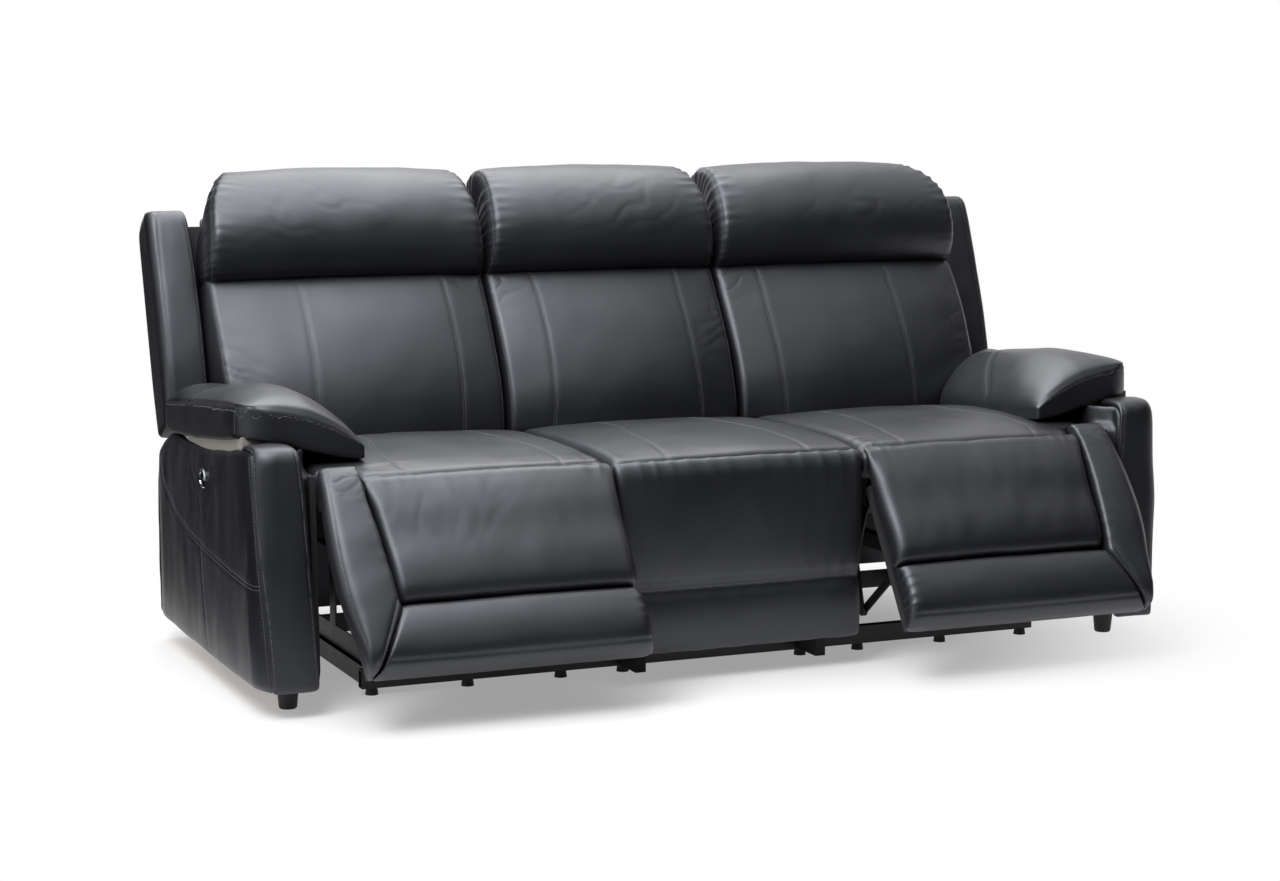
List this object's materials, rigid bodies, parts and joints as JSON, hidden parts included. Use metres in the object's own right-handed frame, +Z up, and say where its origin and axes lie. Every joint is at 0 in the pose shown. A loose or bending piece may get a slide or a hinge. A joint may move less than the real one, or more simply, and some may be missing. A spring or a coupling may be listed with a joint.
{
  "type": "leather sofa",
  "caption": "Power reclining leather sofa for three: padded footrests on a swinging linkage and hinged backs at both ends, a fixed middle seat, overhanging arm pads and button switches.",
  "frame": {"origin": "on the floor under the middle of the bounding box, in the pose of the picture: both footrests half open, backs upright", "axes": "+X to the right of a person facing the front, along the seats; +Y from the front to the rear; +Z up"},
  "size_m": [2.1592, 1.2358, 1.0831],
  "materials": {
    "black_leather": "black full-grain leather, satin, with light grey stitching",
    "black_steel": "black powder-coated steel",
    "black_plastic": "black moulded plastic",
    "timber": "bare pine",
    "black_lining": "black non-woven lining cloth glued over plywood",
    "grey_lining": "pale grey lining cloth over board",
    "spring_steel": "drawn spring wire",
    "zinc_steel": "zinc-plated steel",
    "chrome": "bright chrome"
  },
  "bodies": {
    "base": {"cross_rails": "black_steel", "side_rails": "black_steel", "side_plates": "black_steel", "glides": "black_plastic", "arm_feet": "black_plastic", "arm_inner_boards": "black_lining", "arm_battens": "timber", "left_arm_cover": "black_leather", "right_arm_cover": "black_leather", "left_arm_pad": "black_leather", "right_arm_pad": "black_leather", "arm_pad_bases": "grey_lining", "seat_side_boards": "black_lining", "seat_cross_boards": "black_lining", "middle_side_panels": "black_lining", "seat_springs": "spring_steel", "frame_bolts": "zinc_steel", "left_seat_cushion": "black_leather", "middle_seat_cushion": "black_leather", "right_seat_cushion": "black_leather", "middle_front_board": "black_lining", "middle_front_pad": "black_leather", "middle_back_frame": "black_lining", "middle_back_cushion": "black_leather", "middle_head_pillow": "black_leather", "middle_back_cover": "black_leather", "rear_skirt": "black_leather", "actuators": "black_plastic", "power_inlets": "black_plastic", "switch_bezels": "chrome"},
    "left_footrest": {"left_footrest_board": "black_lining", "left_footrest_brackets": "black_steel", "left_chaise_pad": "black_leather", "left_footrest_trim": "black_leather"},
    "left_drive": {"left_drive_tube": "black_steel"},
    "left_lift": {"left_lift_links": "black_steel"},
    "left_nut": {"left_drive_nut": "black_plastic"},
    "left_back": {"left_back_brackets": "black_steel", "left_back_frame": "black_lining", "left_back_cushion": "black_leather", "left_head_pillow": "black_leather", "left_back_cover": "black_leather", "left_wing": "black_leather"},
    "left_open_push": {"left_open_button": "chrome"},
    "left_close_push": {"left_close_button": "chrome"},
    "right_footrest": {"right_footrest_board": "black_lining", "right_footrest_brackets": "black_steel", "right_chaise_pad": "black_leather", "right_footrest_trim": "black_leather"},
    "right_drive": {"right_drive_tube": "black_steel"},
    "right_lift": {"right_lift_links": "black_steel"},
    "right_nut": {"right_drive_nut": "black_plastic"},
    "right_back": {"right_back_brackets": "black_steel", "right_back_frame": "black_lining", "right_back_cushion": "black_leather", "right_head_pillow": "black_leather", "right_back_cover": "black_leather", "right_wing": "black_leather"},
    "right_open_push": {"right_open_button": "chrome"},
    "right_close_push": {"right_close_button": "chrome"}
  },
  "joints": [
    {"name": "left_footrest_hinge", "type": "hinge", "parent": "base", "child": "left_footrest", "pos_m": [-0.577, -0.33841, 0.436], "axis": [-1, 0, 0], "range_deg": [-33, 52]},
    {"name": "left_drive_turn", "type": "hinge", "parent": "base", "child": "left_drive", "pos_m": [-0.577, -0.18141, 0.316], "axis": [-1, 0, 0], "range_deg": [-33, 52]},
    {"name": "left_lift_turn", "type": "hinge", "parent": "left_drive", "child": "left_lift", "pos_m": [-0.577, -0.24638, 0.0911], "axis": [-1, 0, 0], "range_deg": [-52, 33]},
    {"name": "left_nut_slide", "type": "slide", "parent": "base", "child": "left_nut", "axis": [0, -1, 0], "range_m": [-0.0381, 0.06]},
    {"name": "left_back_hinge", "type": "hinge", "parent": "base", "child": "left_back", "pos_m": [-0.577, 0.33359, 0.352], "axis": [-1, 0, 0], "range_deg": [0, 25]},
    {"name": "left_open_press", "type": "slide", "parent": "base", "child": "left_open_push", "axis": [1, 0, 0], "range_m": [0, 0.0025], "stiffness_N_per_m": 400},
    {"name": "left_close_press", "type": "slide", "parent": "base", "child": "left_close_push", "axis": [1, 0, 0], "range_m": [0, 0.0025], "stiffness_N_per_m": 400},
    {"name": "right_footrest_hinge", "type": "hinge", "parent": "base", "child": "right_footrest", "pos_m": [0.577, -0.33841, 0.436], "axis": [-1, 0, 0], "range_deg": [-33, 52]},
    {"name": "right_drive_turn", "type": "hinge", "parent": "base", "child": "right_drive", "pos_m": [0.577, -0.18141, 0.316], "axis": [-1, 0, 0], "range_deg": [-33, 52]},
    {"name": "right_lift_turn", "type": "hinge", "parent": "right_drive", "child": "right_lift", "pos_m": [0.577, -0.24638, 0.0911], "axis": [-1, 0, 0], "range_deg": [-52, 33]},
    {"name": "right_nut_slide", "type": "slide", "parent": "base", "child": "right_nut", "axis": [0, -1, 0], "range_m": [-0.0381, 0.06]},
    {"name": "right_back_hinge", "type": "hinge", "parent": "base", "child": "right_back", "pos_m": [0.577, 0.33359, 0.352], "axis": [-1, 0, 0], "range_deg": [0, 25]},
    {"name": "right_open_press", "type": "slide", "parent": "base", "child": "right_open_push", "axis": [-1, 0, 0], "range_m": [0, 0.0025], "stiffness_N_per_m": 400},
    {"name": "right_close_press", "type": "slide", "parent": "base", "child": "right_close_push", "axis": [-1, 0, 0], "range_m": [0, 0.0025], "stiffness_N_per_m": 400}
  ],
  "couplings": [
    {"joint": "left_drive_turn", "follows": "left_footrest_hinge", "ratio": 1},
    {"joint": "left_lift_turn", "follows": "left_footrest_hinge", "ratio": -1},
    {"joint": "left_nut_slide", "follows": "left_footrest_hinge", "m_per_rad": 0.066},
    {"joint": "right_drive_turn", "follows": "right_footrest_hinge", "ratio": 1},
    {"joint": "right_lift_turn", "follows": "right_footrest_hinge", "ratio": -1},
    {"joint": "right_nut_slide", "follows": "right_footrest_hinge", "m_per_rad": 0.066}
  ]
}
